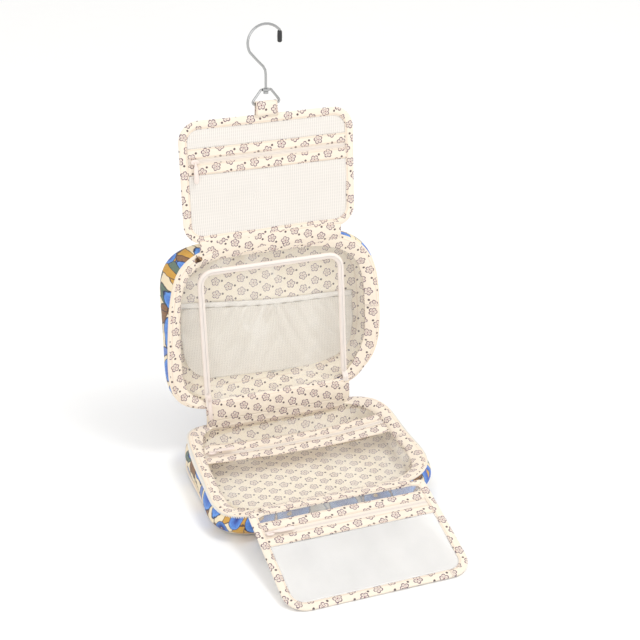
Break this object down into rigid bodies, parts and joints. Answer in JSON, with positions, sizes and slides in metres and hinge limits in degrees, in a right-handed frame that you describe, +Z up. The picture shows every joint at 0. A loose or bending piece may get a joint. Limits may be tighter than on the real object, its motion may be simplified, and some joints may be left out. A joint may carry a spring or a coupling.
{
  "type": "hanging toiletry bag",
  "caption": "Soft hanging toiletry bag hung open: wire hook, zipped mesh top panel, upper case with a clear zip door, lower case lying open with a zipped clear flap.",
  "frame": {"origin": "the point inside the top of the hook that hangs on a rail", "axes": "+Z up along the hook's stem, +X to the right of someone who faces the open bag, -Y towards them"},
  "size_m": [0.2678, 0.3816, 0.5039],
  "materials": {
    "wire": "polished steel wire",
    "dark_tip": "matt",
    "lining_print": "cream cloth with small outline flowers and dots",
    "outer_print": "printed cloth, blue, mustard and brown flowers on cream",
    "white_mesh": "fine net",
    "padding": "soft foam wadding",
    "clear_sheet": "clear soft sheet",
    "zip_tape": "pale pink coil zip",
    "main_zip_tape": "white coil zip",
    "pink_slider": "satin",
    "bronze_slider": "dark bronze, worn"
  },
  "bodies": {
    "hook": {"hook_wire": "wire", "hook_tip": "dark_tip"},
    "ring": {"hanger_ring": "wire", "ring_bush": "wire"},
    "top_panel": {"hanger_tab": "lining_print", "top_panel_binding": "lining_print", "top_panel_mesh_upper": "white_mesh", "top_panel_strip_upper": "lining_print", "top_panel_zip": "zip_tape", "top_panel_strip_lower": "lining_print", "top_panel_mesh_lower": "white_mesh", "top_panel_back_mesh": "white_mesh", "top_panel_hinge_band": "lining_print"},
    "top_panel_slider": {"top_panel_slider": "pink_slider"},
    "top_panel_pull": {"top_panel_pull": "pink_slider"},
    "upper_case": {"upper_case_shell": "outer_print", "upper_case_padding": "padding", "upper_case_lining": "lining_print", "upper_rim_facing": "lining_print", "upper_main_zip": "main_zip_tape", "upper_clear_cover": "clear_sheet", "door_zip_outer": "zip_tape", "mesh_pocket": "white_mesh", "pocket_elastic": "white_mesh"},
    "door": {"clear_door": "clear_sheet", "door_zip_inner": "zip_tape"},
    "door_slider": {"door_slider": "pink_slider"},
    "door_pull": {"door_pull": "pink_slider"},
    "main_zip_slider": {"main_zip_slider": "bronze_slider"},
    "main_zip_pull": {"main_zip_pull": "bronze_slider"},
    "gusset": {"centre_gusset": "lining_print", "outer_spine": "outer_print"},
    "lower_case": {"lower_case_shell": "outer_print", "lower_case_padding": "padding", "lower_case_lining": "lining_print", "lower_rim_facing": "lining_print", "lower_main_zip": "main_zip_tape", "lower_cover_rear": "clear_sheet", "lower_cover_front": "clear_sheet", "lower_cover_strip_rear": "lining_print", "lower_cover_strip_front": "lining_print", "lower_cover_zip": "zip_tape"},
    "lower_cover_slider": {"lower_cover_slider": "pink_slider"},
    "lower_cover_pull": {"lower_cover_pull": "pink_slider"},
    "flap": {"flap_hinge_strip": "lining_print", "flap_binding": "lining_print", "flap_clear_upper": "clear_sheet", "flap_strip_upper": "lining_print", "flap_zip": "zip_tape", "flap_strip_lower": "lining_print", "flap_clear_lower": "clear_sheet", "flap_back_clear": "clear_sheet"},
    "flap_slider": {"flap_slider": "pink_slider"},
    "flap_pull": {"flap_pull": "pink_slider"}
  },
  "joints": [
    {"name": "hook_swivel", "type": "hinge", "parent": "hook", "child": "ring", "pos_m": [0, 0, -0.072], "axis": [0, 0, 1], "continuous": true},
    {"name": "ring_tilt", "type": "hinge", "parent": "ring", "child": "top_panel", "pos_m": [0, 0, -0.088], "axis": [1, 0, 0], "range_deg": [-80, 80]},
    {"name": "panel_fold", "type": "hinge", "parent": "top_panel", "child": "upper_case", "pos_m": [0, -0.01577, -0.2432], "axis": [-1, 0, 0], "range_deg": [-30, 115]},
    {"name": "top_panel_zip_run", "type": "slide", "parent": "top_panel", "child": "top_panel_slider", "axis": [1, 0, 0], "range_m": [0, 0.172]},
    {"name": "top_panel_pull_lift", "type": "hinge", "parent": "top_panel_slider", "child": "top_panel_pull", "pos_m": [-0.086, -0.00995, -0.14438], "axis": [-1, 0, 0], "range_deg": [0, 170]},
    {"name": "door_lift", "type": "hinge", "parent": "upper_case", "child": "door", "pos_m": [0, -0.03543, -0.42185], "axis": [1, 0, 0], "range_deg": [0, 95]},
    {"name": "door_zip_run", "type": "slide", "parent": "upper_case", "child": "door_slider", "axis": [0, 0.1265, 0.992], "range_m": [0, 0.135]},
    {"name": "door_pull_lift", "type": "hinge", "parent": "door_slider", "child": "door_pull", "pos_m": [-0.0868, -0.04226, -0.42955], "axis": [-1, 0, 0], "range_deg": [0, 170]},
    {"name": "main_zip_run", "type": "hinge", "parent": "upper_case", "child": "main_zip_slider", "pos_m": [-0.0829, -0.02147, -0.29741], "axis": [0, -0.992, 0.1265], "range_deg": [0, 60]},
    {"name": "main_zip_pull_swing", "type": "hinge", "parent": "main_zip_slider", "child": "main_zip_pull", "pos_m": [-0.09707, -0.0177, -0.24809], "axis": [0.9613, 0.0349, 0.2734], "range_deg": [0, 120]},
    {"name": "case_close", "type": "hinge", "parent": "upper_case", "child": "gusset", "pos_m": [0, -0.02786, -0.44602], "axis": [1, 0, 0], "range_deg": [-97.27, 0], "deforming": ["centre_gusset", "outer_spine"]},
    {"name": "case_drop", "type": "hinge", "parent": "gusset", "child": "lower_case", "pos_m": [0, -0.04038, -0.46748], "axis": [1, 0, 0], "range_deg": [0, 82.7], "deforming": ["centre_gusset", "outer_spine"]},
    {"name": "lower_cover_zip_run", "type": "slide", "parent": "lower_case", "child": "lower_cover_slider", "axis": [1, 0, 0], "range_m": [0, 0.205]},
    {"name": "lower_cover_pull_lift", "type": "hinge", "parent": "lower_cover_slider", "child": "lower_cover_pull", "pos_m": [-0.0975, -0.09423, -0.46568], "axis": [0, -1, 0], "range_deg": [0, 170]},
    {"name": "flap_fold", "type": "hinge", "parent": "lower_case", "child": "flap", "pos_m": [0, -0.22888, -0.46348], "axis": [1, 0, 0], "range_deg": [-194.6, 28]},
    {"name": "flap_zip_run", "type": "slide", "parent": "flap", "child": "flap_slider", "axis": [1, 0, 0], "range_m": [0, 0.176]},
    {"name": "flap_pull_lift", "type": "hinge", "parent": "flap_slider", "child": "flap_pull", "pos_m": [-0.0855, -0.26564, -0.46877], "axis": [0, -0.9674, -0.2534], "range_deg": [0, 170]}
  ]
}
